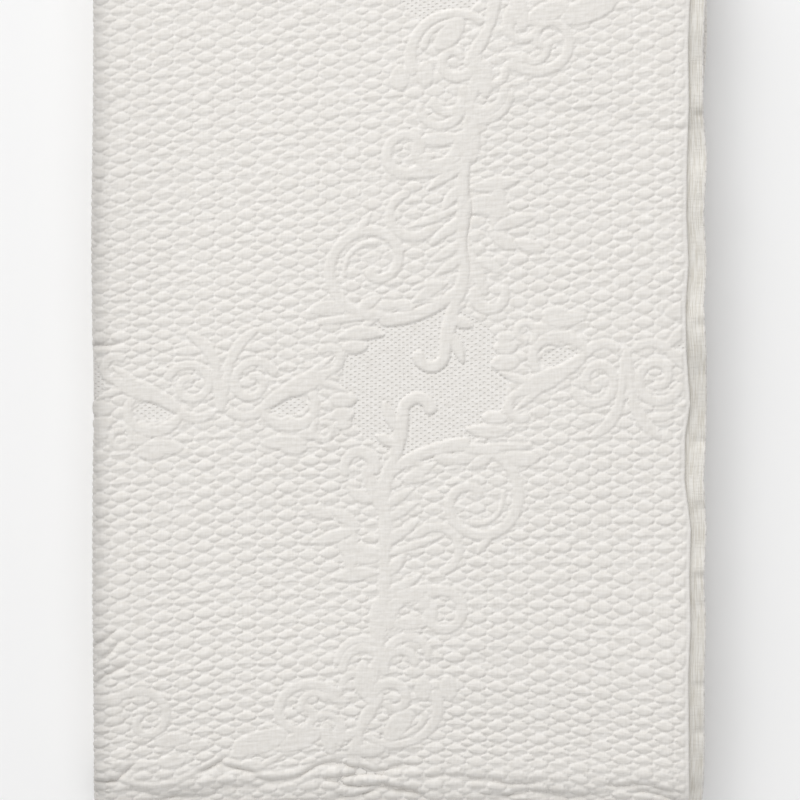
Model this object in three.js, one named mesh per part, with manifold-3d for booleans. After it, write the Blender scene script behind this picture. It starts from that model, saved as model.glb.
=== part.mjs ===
// Matelasse coverlet, folded in four across and then in four along, into one flat stack.
// X runs across the stack, Y along it from the outer fold to the hemmed ends, Z up, in millimetres.
import Module from 'manifold-3d';
import * as THREE from 'three';
import { mergeVertices } from 'three/addons/utils/BufferGeometryUtils.js';

// Cloth and stack
const clothThick = 2.4;
const layerGap = 0.8;
const stackWidth = 444;
const stackLength = 650;
const layersAcross = 4;
const bundlesAlong = 4;

// Where the edges of a bundle lie, in from the widest place of the stack
const topHemSetBack = 15;
const lowerHemSetBack = 12;
const underHemSetBack = 1.6;
const lowerUnderSetBack = 3.5;
const foldSetBack = 4.5;

// Each edge wanders a little in two long waves, and each bundle's in its own way
const edgeWave = 0.8;
const waveStride = 53;
const slowWaveStride = 131;
const bundleTurn = 2.1;
const leftPhase = 0.4;
const foldPhase = 2.2;
const hemPhase = 3.7;

// The outer fold is a loose nose, pushed out more at the top, and the stack thins towards it
const noseStretchTop = 1.7;
const shoulderReach = 110;
const shoulderDrop = 0.13;
const foldSideBulk = 0.03;

// The loose ends of the top bundle step back a little, layer by layer
const topEndSetBack = 4;
const endLean = 0.7;

// How finely the folds are stepped
const steps = {
  across: 2,
  outerTurn: 6,
  innerTurn: 4,
  topBundle: 14,
  lowerBundle: 5,
  outerNose: 7,
  farTurn: 5,
  innerNose: 4,
  scroll: 12,
  fewestInScroll: 4,
  leaf: 3,
};

// Raised scroll ornament: its height, how deep it is rooted, its crown and the tips of its leaves
const relief = 0.9;
const rootDepth = 1.2;
const crownShare = 0.55;
const leafTip = 0.1;
const leafFullness = 0.6;
const medallionAcross = 17.5;
const medallionAlong = 299;
const ornamentSideMargin = 9;
const ornamentEndMargin = 27;

const layerPitch = clothThick + layerGap;
const bundlePitch = layersAcross * layerPitch;
const stackHeight = bundlesAlong * bundlePitch - layerGap;
const noseStart = stackHeight / 2;

// How far the top hem, the hem under it and the hems of the lower bundles wander, along the stack
const hemRows = [
  { along: 0, hem: 1.5, under: 0.0, lower: 0.0 },
  { along: 45, hem: 1.0, under: 0.0, lower: 0.0 },
  { along: 90, hem: 0.5, under: -0.5, lower: 0.0 },
  { along: 125, hem: 2.0, under: 0.8, lower: 0.0 },
  { along: 160, hem: 1.2, under: -0.6, lower: 0.0 },
  { along: 195, hem: 2.3, under: 1.2, lower: 0.0 },
  { along: 230, hem: -2.2, under: -0.8, lower: 0.0 },
  { along: 262, hem: -1.8, under: 1.0, lower: 0.0 },
  { along: 285, hem: 1.8, under: 1.4, lower: 0.0 },
  { along: 320, hem: -0.8, under: 1.3, lower: 0.0 },
  { along: 355, hem: -1.6, under: -0.9, lower: 0.0 },
  { along: 385, hem: 0.6, under: 1.2, lower: 0.0 },
  { along: 420, hem: -1.0, under: -0.8, lower: 0.0 },
  { along: 460, hem: -0.6, under: 1.3, lower: 0.0 },
  { along: 500, hem: 0.8, under: -1.4, lower: 0.5 },
  { along: 545, hem: 0.3, under: -1.0, lower: 4.8 },
  { along: 590, hem: 2.2, under: 0.4, lower: 4.4 },
  { along: 650, hem: 1.0, under: 0.6, lower: 3.0 },
];

// The cloth's rows lie askew: their slope and their bow, along the stack from the medallion
const skewRows = [
  { along: -290, slope: 0.0, bow: 0.00034 },
  { along: -120, slope: 0.03, bow: 0.00012 },
  { along: 0, slope: 0.035, bow: 0.0 },
  { along: 130, slope: 0.085, bow: 0.0 },
  { along: 360, slope: 0.09, bow: 0.0 },
];

// Scrolls of the long branch: spiral centre, radii, ease of the spiral, angles and widths
const longScrolls = [
  { x: 5, y: 19, r0: 11, r1: 9, ease: 1, from: 0, turn: -165, w0: 7, w1: 8 },
  { x: 48, y: 60, r0: 12, r1: 10, ease: 1, from: 175, turn: 200, w0: 9, w1: 6 },
  { x: -25, y: 120, r0: 74, r1: 74, ease: 1, from: -50, turn: -42, w0: 7, w1: 9 },
  { x: -36.5, y: 84, r0: 38, r1: 6, ease: 1.25, from: -82, turn: -400, w0: 9.5, w1: 6 },
  { x: -6, y: 122, r0: 24, r1: 13, ease: 1, from: -48, turn: -205, w0: 7, w1: 5.5 },
  { x: -15, y: 167, r0: 28, r1: 7, ease: 1, from: -48, turn: -320, w0: 8, w1: 7 },
  { x: 5, y: 170, r0: 21, r1: 11, ease: 1, from: 5, turn: -200, w0: 11, w1: 4 },
  { x: 16, y: 203, r0: 13, r1: 10, ease: 1, from: 15, turn: -180, w0: 7, w1: 5.5 },
  { x: 43, y: 204, r0: 14, r1: 15, ease: 1, from: -125, turn: 130, w0: 8, w1: 6 },
  { x: 23, y: 228, r0: 15, r1: 5, ease: 1, from: 0, turn: -320, w0: 8, w1: 5 },
  { x: 20, y: 232, r0: 31, r1: 29, ease: 1, from: 50, turn: 145, w0: 5, w1: 8 },
  { x: 90, y: 239, r0: 38, r1: 5, ease: 0.6, from: -150, turn: 440, w0: 7, w1: 5.5 },
];

// Leaves and stem of the long branch: foot, heading, bend, length and width
const longLeaves = [
  { x: 15, y: 17, aim: 84, bend: -8, long: 42, wide: 9 },
  { x: 21, y: 54, aim: 62, bend: 28, long: 40, wide: 10 },
  { x: 28, y: 82, aim: 90, bend: 0, long: 45, wide: 9 },
  { x: 28.5, y: 118, aim: 90, bend: 0, long: 45, wide: 8 },
  { x: 30, y: 90, aim: 215, bend: -8, long: 26, wide: 7 },
  { x: 30, y: 116, aim: 210, bend: 8, long: 30, wide: 6.5 },
  { x: 30, y: 124, aim: 200, bend: -6, long: 44, wide: 5.5 },
  { x: 33, y: 136, aim: 2, bend: 4, long: 34, wide: 10 },
  { x: 33, y: 122, aim: 20, bend: -70, long: 26, wide: 15 },
  { x: 50, y: 108, aim: 78, bend: 12, long: 28, wide: 11 },
  { x: 47, y: 104, aim: 20, bend: -12, long: 34, wide: 9 },
  { x: -82, y: 54, aim: 20, bend: -35, long: 30, wide: 17 },
  { x: 34, y: 158, aim: 92, bend: 0, long: 30, wide: 15 },
  { x: 39, y: 202, aim: 95, bend: 5, long: 22, wide: 12 },
  { x: 47, y: 252, aim: 246, bend: -14, long: 30, wide: 8.5 },
  { x: 47, y: 250, aim: 80, bend: -4, long: 44, wide: 9 },
  { x: 12, y: 240, aim: 40, bend: 25, long: 20, wide: 15 },
  { x: 104, y: 252, aim: 22, bend: -15, long: 30, wide: 18 },
];

// Half of the short branch, about its own middle; the other half mirrors it
const shortBranchMiddle = -145.5;
const shortScrolls = [
  { x: 22, y: 4, r0: 17.5, r1: 5, ease: 1, from: 25, turn: 425, w0: 6.5, w1: 5 },
  { x: 17, y: -3, r0: 17, r1: 17, ease: 1, from: -125, turn: 75, w0: 6, w1: 7 },
  { x: 76, y: 20, r0: 10, r1: 8, ease: 1, from: -100, turn: 215, w0: 5, w1: 6 },
  { x: 55, y: -14, r0: 13, r1: 12, ease: 1, from: 35, turn: -150, w0: 6, w1: 6 },
];
const shortLeaves = [
  { x: 4, y: 16, aim: 76, bend: -45, long: 34, wide: 8 },
  { x: 30, y: -14, aim: 42, bend: -32, long: 30, wide: 9 },
  { x: 40, y: -5, aim: 18, bend: 8, long: 42, wide: 14 },
  { x: 29, y: -18, aim: -48, bend: 62, long: 34, wide: 8 },
];

function lerp(a, b, t) {
  return a + (b - a) * t;
}

// Reads a column of a table between its two nearest rows
function readRows(rows, along, column) {
  const last = rows.length - 1;
  const found = rows.findIndex((row) => row.along >= along);
  const next = found < 0 ? last : Math.max(1, found);
  const before = rows[next - 1];
  const after = rows[next];
  const share = THREE.MathUtils.clamp((along - before.along) / (after.along - before.along), 0, 1);
  return lerp(before[column], after[column], share);
}

function wave(along, bundle, phase) {
  const quick = Math.sin(along / waveStride + bundleTurn * bundle + phase);
  return edgeWave * quick * Math.cos(along / slowWaveStride + bundle);
}

// The four edges of one bundle's section at one place along the stack; bundle 0 is the top one
function edgesAt(along, bundle) {
  const half = stackWidth / 2;
  const lower = bundle > 0;
  const hemWave = readRows(hemRows, along, 'hem') + (lower ? wave(along, bundle, hemPhase) : 0);
  const underWave = readRows(hemRows, along, lower ? 'lower' : 'under');
  return {
    left: -half + edgeWave + wave(along, bundle, leftPhase),
    fold: half - foldSetBack + wave(along, bundle, foldPhase),
    hem: half - (lower ? lowerHemSetBack : topHemSetBack) + hemWave,
    under: half - (lower ? lowerUnderSetBack : underHemSetBack) + underWave,
  };
}

// Centre line of the cloth across one bundle: top hem, outer fold, back, fold, in, inner fold, hem
function acrossPath(edge) {
  const height = (layer) => -clothThick / 2 - layer * layerPitch;
  const outerRadius = 1.5 * layerPitch;
  const innerRadius = 0.5 * layerPitch;
  const leftCentre = edge.left + outerRadius + clothThick / 2;
  const rightCentre = edge.fold - innerRadius - clothThick / 2;
  const quarter = Math.PI / 2;
  const points = [];
  const run = (from, to, layer) => {
    const side = from > to ? 1 : -1;
    for (let i = 0; i < steps.across; i += 1) {
      points.push({ x: lerp(from, to, i / steps.across), h: height(layer), nx: 0, nh: side });
    }
  };
  const turn = (cx, ch, radius, start, sweep, count, inward) => {
    for (let i = 0; i < count; i += 1) {
      const angle = start + (sweep * i) / count;
      const nx = Math.cos(angle);
      const nh = Math.sin(angle);
      points.push({ x: cx + radius * nx, h: ch + radius * nh, nx: nx * inward, nh: nh * inward });
    }
  };
  run(edge.hem, leftCentre, 0);
  turn(leftCentre, (height(0) + height(3)) / 2, outerRadius, quarter, 2 * quarter, steps.outerTurn, 1);
  run(leftCentre, rightCentre, 3);
  turn(rightCentre, (height(2) + height(3)) / 2, innerRadius, -quarter, 2 * quarter, steps.innerTurn, 1);
  run(rightCentre, leftCentre, 2);
  turn(leftCentre, (height(1) + height(2)) / 2, innerRadius, -quarter, -2 * quarter, steps.innerTurn, -1);
  run(leftCentre, edge.under, 1);
  points.push({ x: edge.under, h: height(1), nx: 0, nh: -1 });
  return points;
}

// The closed outline of the cloth's thickness around that centre line
function acrossOutline(edge) {
  const path = acrossPath(edge);
  const side = (sign) => path.map((p) => ({
    x: p.x + (sign * p.nx * clothThick) / 2,
    h: p.h + (sign * p.nh * clothThick) / 2,
  }));
  return [...side(1), ...side(-1).reverse()];
}

// The stations along the bundles: where the outer face runs, which way it looks, and its edges
function alongStations() {
  const stations = [];
  const farAt = stackLength - bundlePitch;
  const quarter = Math.PI / 2;
  const middle = 2 * bundlePitch;
  const farRadius = bundlePitch - layerGap / 2;
  const flat = (bundle, z, look, from, to, count, lean) => {
    for (let i = 0; i < count; i += 1) {
      const y = lerp(from, to, i / count);
      stations.push({ y, z, ny: 0, nz: look, lean: lean * (1 - i / count), edge: edgesAt(y, bundle) });
    }
  };
  const bend = (first, second, cy, cz, radius, start, sweep, count, inward) => {
    const a = edgesAt(cy, first);
    const b = edgesAt(cy, second);
    for (let i = 0; i < count; i += 1) {
      const angle = start + (sweep * i) / count;
      const edge = {};
      Object.keys(a).forEach((key) => { edge[key] = lerp(a[key], b[key], i / count); });
      const ny = Math.cos(angle);
      const nz = Math.sin(angle);
      stations.push({
        y: cy + radius * ny, z: cz + radius * nz, ny: ny * inward, nz: nz * inward, lean: 0, edge,
      });
    }
  };
  flat(0, stackHeight, 1, stackLength - topEndSetBack, noseStart, steps.topBundle, -endLean);
  bend(0, 3, noseStart, noseStart, noseStart, quarter, 2 * quarter, steps.outerNose, 1);
  flat(3, 0, -1, noseStart, farAt, steps.lowerBundle, 0);
  bend(3, 2, farAt, farRadius, farRadius, -quarter, 2 * quarter, steps.farTurn, 1);
  flat(2, middle - layerGap, 1, farAt, noseStart, steps.lowerBundle, 0);
  bend(2, 1, noseStart, middle - layerGap / 2, layerGap / 2, -quarter, -2 * quarter, steps.innerNose, -1);
  flat(1, middle, -1, noseStart, stackLength, steps.lowerBundle, 0);
  stations.push({ y: stackLength, z: middle, ny: 0, nz: -1, lean: 0, edge: edgesAt(stackLength, 1) });
  return stations;
}

// Loosens the outer fold, thins the stack towards it and swells it along the folded side
function settle(x, y, z) {
  const nose = Math.max(0, noseStart - y);
  const stretch = (noseStretchTop - 1) * (z / stackHeight);
  const shoulder = 1 - THREE.MathUtils.smoothstep(y, -noseStart, shoulderReach);
  const swell = 1 - foldSideBulk * (x / stackWidth) - shoulderDrop * shoulder;
  return [x, y - nose * stretch, z * swell];
}

// The plain cloth as a closed surface: its section swept through all the stations
function clothSurface() {
  const positions = [];
  const indices = [];
  const stations = alongStations();
  const outlines = stations.map((station) => acrossOutline(station.edge));
  const round = outlines[0].length;
  stations.forEach((s, k) => {
    outlines[k].forEach((p) => {
      positions.push(...settle(p.x, s.y + (s.ny + s.lean) * p.h, s.z + s.nz * p.h));
    });
  });
  for (let k = 0; k < stations.length - 1; k += 1) {
    for (let i = 0; i < round; i += 1) {
      const j = (i + 1) % round;
      const [a, b, c, d] = [k * round + i, k * round + j, (k + 1) * round + j, (k + 1) * round + i];
      indices.push(a, b, c, a, c, d);
    }
  }
  const endCap = (k, flip) => {
    const outline = outlines[k].map((p) => new THREE.Vector2(p.x, p.h));
    THREE.ShapeUtils.triangulateShape(outline, []).forEach(([a, b, c]) => {
      const corners = flip ? [a, c, b] : [a, b, c];
      indices.push(...corners.map((corner) => corner + k * round));
    });
  };
  endCap(0, true);
  endCap(stations.length - 1, false);
  return { positions, indices };
}

function scrollPath(row) {
  const points = [];
  const reach = THREE.MathUtils.degToRad(Math.abs(row.turn)) * (row.r0 + row.r1) / 2;
  const count = Math.max(steps.fewestInScroll, Math.round(reach / steps.scroll));
  for (let i = 0; i <= count; i += 1) {
    const share = i / count;
    const radius = lerp(row.r0, row.r1, share ** row.ease);
    const angle = THREE.MathUtils.degToRad(row.from + row.turn * share);
    const half = lerp(row.w0, row.w1, share) / 2;
    points.push({ x: row.x + radius * Math.cos(angle), y: row.y + radius * Math.sin(angle), half });
  }
  return points;
}

function leafPath(row) {
  const points = [];
  let { x, y } = row;
  const stride = row.long / steps.leaf;
  for (let i = 0; i <= steps.leaf; i += 1) {
    const share = i / steps.leaf;
    const swell = Math.sin(Math.PI * lerp(leafTip, 1 - leafTip, share)) ** leafFullness;
    points.push({ x, y, half: (row.wide / 2) * swell });
    const angle = THREE.MathUtils.degToRad(row.aim + row.bend * (share + 0.5 / steps.leaf));
    x += stride * Math.cos(angle);
    y += stride * Math.sin(angle);
  }
  return points;
}

// All the strokes: each branch, and the same turned half a turn about the medallion
function ornamentPaths() {
  const placed = [];
  const turned = (path) => path.map((p) => ({ x: -p.x, y: -p.y, half: p.half }));
  const mirrored = (path) => path.map((p) => ({ x: 2 * shortBranchMiddle - p.x, y: p.y, half: p.half }));
  const long = [...longScrolls.map(scrollPath), ...longLeaves.map(leafPath)];
  const half = [...shortScrolls.map(scrollPath), ...shortLeaves.map(leafPath)];
  const right = half.map((path) => path.map((p) => ({ ...p, x: p.x + shortBranchMiddle })));
  [...long, ...right, ...right.map(mirrored)].forEach((path) => placed.push(path, turned(path)));
  return placed;
}

// From the cloth's own rows to a place on top of the stack
function onStack(p) {
  const slope = readRows(skewRows, p.y, 'slope');
  const bow = readRows(skewRows, p.y, 'bow');
  const x = p.x + medallionAcross;
  return { x, y: medallionAlong + p.y + slope * x - bow * x * x, half: p.half };
}

// One stroke as a low ridge with sloping sides, rooted in the cloth under it
function strokeSurface(path) {
  const positions = [];
  const indices = [];
  const points = path.map(onStack);
  const last = points.length - 1;
  points.forEach((p, i) => {
    const before = points[Math.max(0, i - 1)];
    const after = points[Math.min(last, i + 1)];
    const aim = new THREE.Vector2(after.x - before.x, after.y - before.y).normalize();
    const corner = (across, z) => {
      positions.push(...settle(p.x - aim.y * across, p.y + aim.x * across, z));
    };
    corner(p.half, stackHeight - rootDepth);
    corner(-p.half, stackHeight - rootDepth);
    corner(-p.half * crownShare, stackHeight + relief);
    corner(p.half * crownShare, stackHeight + relief);
  });
  for (let k = 0; k < last; k += 1) {
    for (let i = 0; i < 4; i += 1) {
      const j = (i + 1) % 4;
      const [a, b, c, d] = [4 * k + i, 4 * k + j, 4 * k + 4 + j, 4 * k + 4 + i];
      indices.push(a, c, b, a, d, c);
    }
  }
  indices.push(0, 1, 2, 0, 2, 3);
  indices.push(4 * last, 4 * last + 2, 4 * last + 1, 4 * last, 4 * last + 3, 4 * last + 2);
  return { positions, indices };
}

const wasm = await Module();
wasm.setup();

function toSolid({ positions, indices }) {
  return new wasm.Manifold(new wasm.Mesh({
    numProp: 3,
    vertProperties: new Float32Array(positions),
    triVerts: new Uint32Array(indices),
  }));
}

// The part of the top layer that may carry ornament, clear of its folds, hem and end
function ornamentPanel() {
  const left = -stackWidth / 2 + ornamentSideMargin;
  const right = stackWidth / 2 - topHemSetBack - ornamentSideMargin;
  const near = noseStart;
  const far = stackLength - ornamentEndMargin;
  const box = new THREE.BoxGeometry(right - left, far - near, stackHeight);
  box.translate((left + right) / 2, (near + far) / 2, stackHeight);
  box.deleteAttribute('normal');
  box.deleteAttribute('uv');
  const merged = mergeVertices(box);
  return toSolid({ positions: [...merged.attributes.position.array], indices: [...merged.index.array] });
}

function foldedCloth() {
  const strokes = ornamentPaths().map((path) => toSolid(strokeSurface(path)));
  const ornament = strokes.reduce((sum, stroke) => sum.add(stroke)).intersect(ornamentPanel());
  const mesh = toSolid(clothSurface()).add(ornament).getMesh();
  const geometry = new THREE.BufferGeometry();
  geometry.setAttribute('position', new THREE.Float32BufferAttribute(mesh.vertProperties, 3));
  geometry.setIndex([...mesh.triVerts]);
  geometry.computeBoundingBox();
  const centre = geometry.boundingBox.getCenter(new THREE.Vector3());
  geometry.translate(-centre.x, -centre.y, -geometry.boundingBox.min.z);
  geometry.computeVertexNormals();
  return geometry;
}

const cotton = new THREE.MeshStandardMaterial({ color: '#e2dfda', roughness: 0.92, metalness: 0 });

const coverlet = new THREE.Mesh(foldedCloth(), cotton);
coverlet.name = 'coverlet';

const part = new THREE.Group();
part.add(coverlet);

export default part;
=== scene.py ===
import math

import bpy
import numpy as np
from mathutils import Matrix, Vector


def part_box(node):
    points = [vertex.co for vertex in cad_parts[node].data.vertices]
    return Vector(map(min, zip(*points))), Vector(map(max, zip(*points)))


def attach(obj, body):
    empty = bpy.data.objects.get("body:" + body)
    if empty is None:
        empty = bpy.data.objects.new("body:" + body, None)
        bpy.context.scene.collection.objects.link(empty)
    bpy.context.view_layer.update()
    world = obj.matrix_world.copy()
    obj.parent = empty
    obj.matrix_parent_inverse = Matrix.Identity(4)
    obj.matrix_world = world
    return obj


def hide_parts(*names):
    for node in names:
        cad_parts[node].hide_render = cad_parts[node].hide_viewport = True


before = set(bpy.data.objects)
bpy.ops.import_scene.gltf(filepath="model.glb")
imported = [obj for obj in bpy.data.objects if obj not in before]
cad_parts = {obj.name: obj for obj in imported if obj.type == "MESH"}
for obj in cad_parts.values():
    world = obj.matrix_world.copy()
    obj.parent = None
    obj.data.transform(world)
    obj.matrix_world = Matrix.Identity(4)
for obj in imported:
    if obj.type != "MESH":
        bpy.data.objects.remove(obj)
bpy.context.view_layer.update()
print("frame loaded")

mm = 0.001

# the folded stack: the CAD part's own sizes, in millimetres
stack = {
    "clothThick": 2.4,
    "layerGap": 0.8,
    "width": 444,
    "length": 650,
    "layersAcross": 4,
    "bundlesAlong": 4,
    "topHemSetBack": 15,
    "lowerHemSetBack": 12,
    "underHemSetBack": 1.6,
    "lowerUnderSetBack": 3.5,
    "foldSetBack": 4.5,
    "edgeWave": 0.8,
    "waveStride": 53,
    "slowWaveStride": 131,
    "bundleTurn": 2.1,
    "leftPhase": 0.4,
    "foldPhase": 2.2,
    "hemPhase": 3.7,
    "noseStretchTop": 1.7,
    "shoulderReach": 110,
    "shoulderDrop": 0.13,
    "foldSideBulk": 0.03,
    "topEndSetBack": 4,
    "endLean": 0.7,
    "medallionAcross": 17.5,  # the middle of the ornament, from the stack's middle
    "medallionAlong": 299,    # and from the start of the outer fold
    "photoAlong": 288,        # the middle of the photograph, from the same start
}
thick = stack["clothThick"]
layerPitch = thick + stack["layerGap"]
bundlePitch = stack["layersAcross"] * layerPitch
stackHeight = stack["bundlesAlong"] * bundlePitch - stack["layerGap"]
noseStart = stackHeight / 2
endAt = stack["length"] - stack["topEndSetBack"]
farAt = stack["length"] - bundlePitch

# how far the top hem, the hem under it and the lower bundles' hems wander: along, hem, under, lower
hemRows = [
    (0, 1.5, 0.0, 0.0), (45, 1.0, 0.0, 0.0), (90, 0.5, -0.5, 0.0), (125, 2.0, 0.8, 0.0),
    (160, 1.2, -0.6, 0.0), (195, 2.3, 1.2, 0.0), (230, -2.2, -0.8, 0.0), (262, -1.8, 1.0, 0.0),
    (285, 1.8, 1.4, 0.0), (320, -0.8, 1.3, 0.0), (355, -1.6, -0.9, 0.0), (385, 0.6, 1.2, 0.0),
    (420, -1.0, -0.8, 0.0), (460, -0.6, 1.3, 0.0), (500, 0.8, -1.4, 0.5), (545, 0.3, -1.0, 4.8),
    (590, 2.2, 0.4, 4.4), (650, 1.0, 0.6, 3.0),
]
# the cloth's rows lie askew: along from the photograph's middle, slope, bow
skewRows = [
    (-300, 0.0, 0.00036), (-200, 0.0, 0.00032), (-110, 0.03, 0.00012),
    (0, 0.035, 0.0), (130, 0.085, -0.00002), (300, 0.09, 0.0),
]


def readRows(rows, along, column):
    table = np.array(rows, float)
    return np.interp(along, table[:, 0], table[:, column])


def smooth(value, start, end):
    share = np.clip((value - start) / (end - start), 0, 1)
    return share * share * (3 - 2 * share)


def wave(along, bundle, phase):
    quick = np.sin(along / stack["waveStride"] + stack["bundleTurn"] * bundle + phase)
    return stack["edgeWave"] * quick * np.cos(along / stack["slowWaveStride"] + bundle)


def edgesAt(along, bundle):
    half = stack["width"] / 2
    lower = bundle > 0
    hemWave = readRows(hemRows, along, 1) + (wave(along, bundle, stack["hemPhase"]) if lower else 0)
    underWave = readRows(hemRows, along, 3 if lower else 2)
    return {
        "left": -half + stack["edgeWave"] + wave(along, bundle, stack["leftPhase"]),
        "fold": half - stack["foldSetBack"] + wave(along, bundle, stack["foldPhase"]),
        "hem": half - stack["lowerHemSetBack" if lower else "topHemSetBack"] + hemWave,
        "under": half - stack["lowerUnderSetBack" if lower else "underHemSetBack"] + underWave,
    }


def settle(x, y, z):  # loosens the outer fold and thins the stack towards it, as in the CAD part
    nose = np.maximum(0, noseStart - y)
    stretch = (stack["noseStretchTop"] - 1) * (z / stackHeight)
    shoulder = 1 - smooth(y, -noseStart, stack["shoulderReach"])
    swell = 1 - stack["foldSideBulk"] * (x / stack["width"]) - stack["shoulderDrop"] * shoulder
    return x, y - nose * stretch, z * swell


# soft unevenness on top of that, in the looks alone
slack = {
    "leftRound": 3.4,   # the top layer falls away before it turns down on the left
    "leftReach": 17,
    "hemRound": 1.0,
    "hemReach": 26,
    "roll": 0.7,          # long low swells of the top
    "smallRoll": 0.42,
    "creaseWander": 1.4,  # creases aren't straight
    "stripLevel": 0.5,    # the hem that shows beside the top one is loose: it rises and sinks,
    "stripPuff": 0.3,     # ripples,
    "stripShadow": 0.17,    # takes a painted shadow of the hem above where it sinks
    "stripDroop": 0.16,   # and hangs down outwards there
    "stripDroopFrom": 6,
    "stripDroopReach": 9,
}
# creases across that hem: along from the photograph's middle, depth, reach
stripCreases = [
    (244, 0.8, 4), (206, 2.4, 2.5), (143, 0.9, 4), (54, 1.6, 4), (20, 0.8, 5), (-30, 1.6, 3.5),
    (-78, 1.0, 4), (-128, 2.0, 3), (-149, 1.0, 3), (-206, 1.2, 3), (-240, 1.6, 3), (-282, 1.4, 3),
]
# how high that hem lies, from 1 to -1. These levels follow how light or dark the photograph's strip
# is, and they set how much painted shadow it gets too: along, level
stripLevels = [
    (-288, -0.9), (-215, -0.2), (-170, -0.1), (-133, -0.5), (-120, 0.6), (-78, -0.4), (-60, 0.5),
    (-35, 0.5), (-10, -0.4), (30, -0.9), (60, 0.9), (76, 0.9), (100, 0.2), (136, -0.1), (166, 1.0),
    (200, -1.0), (222, 0.3), (255, -0.5), (288, 1.0),
]
# creases and ridges of the top, where less than 0 is a ridge: across and along from the photograph's
# middle, aim, half length, depth, reach
creaseRows = [
    (-212, -274, 2, 9, 3.0, 2.0), (-198, -268, 32, 9, 2.0, 1.9), (-217, -282, -8, 6, 2.4, 2.4),
    (-203, -262, 30, 9, -0.9, 2.6), (-136, -263, 22, 12, 2.4, 1.9), (-116, -266, -20, 13, 2.4, 1.9),
    (-93, -273, -3, 14, 1.6, 2.0), (-66, -267, 22, 13, 1.9, 1.9), (-38, -264, -3, 17, 3.0, 2.0),
    (-10, -266, 5, 22, 2.2, 2.2), (-34, -271, 3, 24, 3.2, 1.9), (-22, -278, -5, 28, 3.3, 1.9),
    (-30, -284, 12, 18, 2.9, 1.9), (4, -283, -16, 14, 2.9, 2.1), (-6, -274, 0, 18, -1.0, 2.2),
    (-24, -258, 0, 34, 0.9, 4.0), (76, -276, -2, 28, 2.2, 2.3), (92, -284, 2, 32, 2.4, 2.3),
    (174, -279, -6, 28, 2.4, 2.0), (188, -286, -10, 22, 2.4, 2.0), (128, -286, 2, 24, 1.6, 2.6),
    (-150, -286, 8, 34, 1.6, 2.6), (-120, -279, 4, 40, 1.2, 2.8), (-175, -284, -4, 26, 1.4, 2.4),
    (30, -272, 3, 30, 1.3, 2.6), (-212, -184, 42, 15, 1.7, 2.0), (-208, -197, 40, 15, 1.7, 2.0),
    (-214, -190, 41, 14, -0.8, 2.6), (-214, -174, 46, 12, 1.4, 2.0), (-213, 40, 10, 11, 1.8, 2.0),
    (-215, 33, 8, 9, -0.6, 2.4), (50, 124, 88, 42, 1.1, 1.2), (-206, 214, 20, 14, 0.6, 3.0),
    (120, 208, -6, 60, 0.5, 4.0), (190, 196, -4, 26, 0.8, 2.4), (70, -186, 4, 60, 0.4, 5.0),
    (-218, 120, 84, 60, 0.8, 2.2), (-217, -60, 92, 70, 0.9, 2.0),
]


def creases(x, along):
    depth = 0
    for across, at, aim, half, deep, reach in creaseRows:
        cosine, sine = math.cos(math.radians(aim)), math.sin(math.radians(aim))
        run = ((x - across) * cosine + (along - at) * sine) / half
        wander = slack["creaseWander"] * np.sin(run * half / 7 + across)
        off = ((along - at) * cosine - (x - across) * sine + wander) / reach
        depth = depth + deep * np.exp(-off ** 2 - run ** 4)
    return depth


def readStrip(along):
    return np.interp(along, *np.array(stripLevels).T)


def sag(x, y, z, sunk=0):
    top = smooth(z, 0.55 * stackHeight, 0.8 * stackHeight)
    left = -stack["width"] / 2
    right = stack["width"] / 2 - stack["topHemSetBack"]
    along = y - stack["photoAlong"]
    drop = slack["leftRound"] * (1 - smooth(x, left, left + slack["leftReach"])) ** 1.5
    drop = drop + slack["hemRound"] * smooth(x, right - slack["hemReach"], right + 4) ** 2
    drop = drop + slack["roll"] * np.sin(x / 71 + y / 160) * np.sin(y / 83 + 1.3)
    drop = drop + slack["smallRoll"] * np.sin(x / 39 - y / 57) + creases(x, along)
    drop = drop + sunk * (1 - smooth(x, right - 8, right - 4))
    strip = smooth(x, right + 3, right + 8)
    crease = sum(depth * np.exp(-((along - at) / reach) ** 2) for at, depth, reach in stripCreases)
    level = slack["stripLevel"] * (readStrip(along) - 1) + slack["stripPuff"] * np.sin(along / 4.1 + x / 5)
    outwards = np.clip(x - right - slack["stripDroopFrom"], 0, slack["stripDroopReach"])
    droop = slack["stripDroop"] * outwards * (1 - readStrip(along)) / 2
    return x, y, z - top * (drop + strip * (crease - level + droop))


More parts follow.
